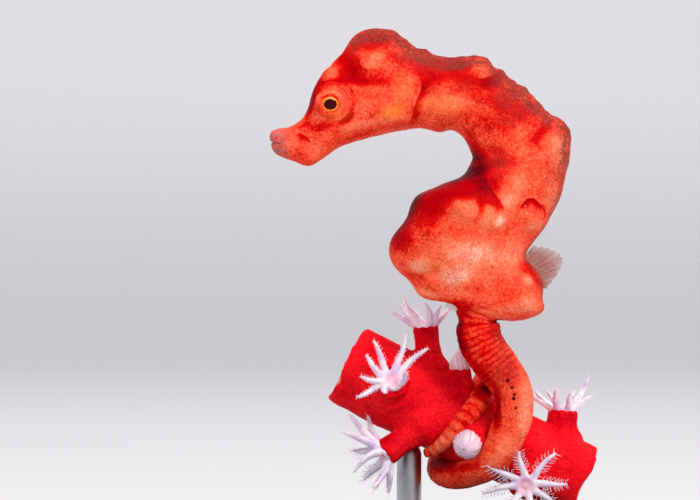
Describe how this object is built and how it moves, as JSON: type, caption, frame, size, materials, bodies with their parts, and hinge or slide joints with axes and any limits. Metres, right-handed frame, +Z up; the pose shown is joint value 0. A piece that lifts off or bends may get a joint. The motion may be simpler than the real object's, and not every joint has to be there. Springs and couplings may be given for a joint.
{
  "type": "pygmy seahorse model",
  "caption": "Life-size pygmy seahorse in a still pose, its tail coiled round a cut coral branch with polyps, held on a flat round base by short rods.",
  "frame": {"origin": "centre of the base's underside", "axes": "+Z up, +X from the snout towards the animal's back, +Y towards the animal's right side"},
  "size_m": [0.0116, 0.0116, 0.0159],
  "materials": {
    "skin": "satin, orange-red with dark speckles",
    "eye": "gloss, near-black with a yellow ring",
    "fin": "translucent, brownish",
    "coral": "matt, saturated red",
    "polyp": "soft, lilac-white",
    "stand": "satin black",
    "rod": "brushed"
  },
  "bodies": {
    "root": {"snout": "skin", "head": "skin", "coronet": "skin", "eye_left": "eye", "eye_right": "eye", "neck": "skin", "chest": "skin", "trunk": "skin", "belly": "skin", "tail_1": "skin", "tail_2": "skin", "tail_3": "skin", "tail_4": "skin", "tail_5": "skin", "tail_6": "skin", "dorsal_fin": "fin", "anal_fin": "fin", "pectoral_fin_left": "fin", "pectoral_fin_right": "fin", "perch_branch": "coral", "polyp_top_left": "polyp", "polyp_front_left": "polyp", "polyp_under_left": "polyp", "polyp_front_right": "polyp", "polyp_top_right": "polyp", "polyp_shut_above": "polyp", "polyp_shut_grip": "polyp", "stand_base": "stand", "stand_rod_left": "rod", "stand_rod_right": "rod"}
  },
  "joints": []
}
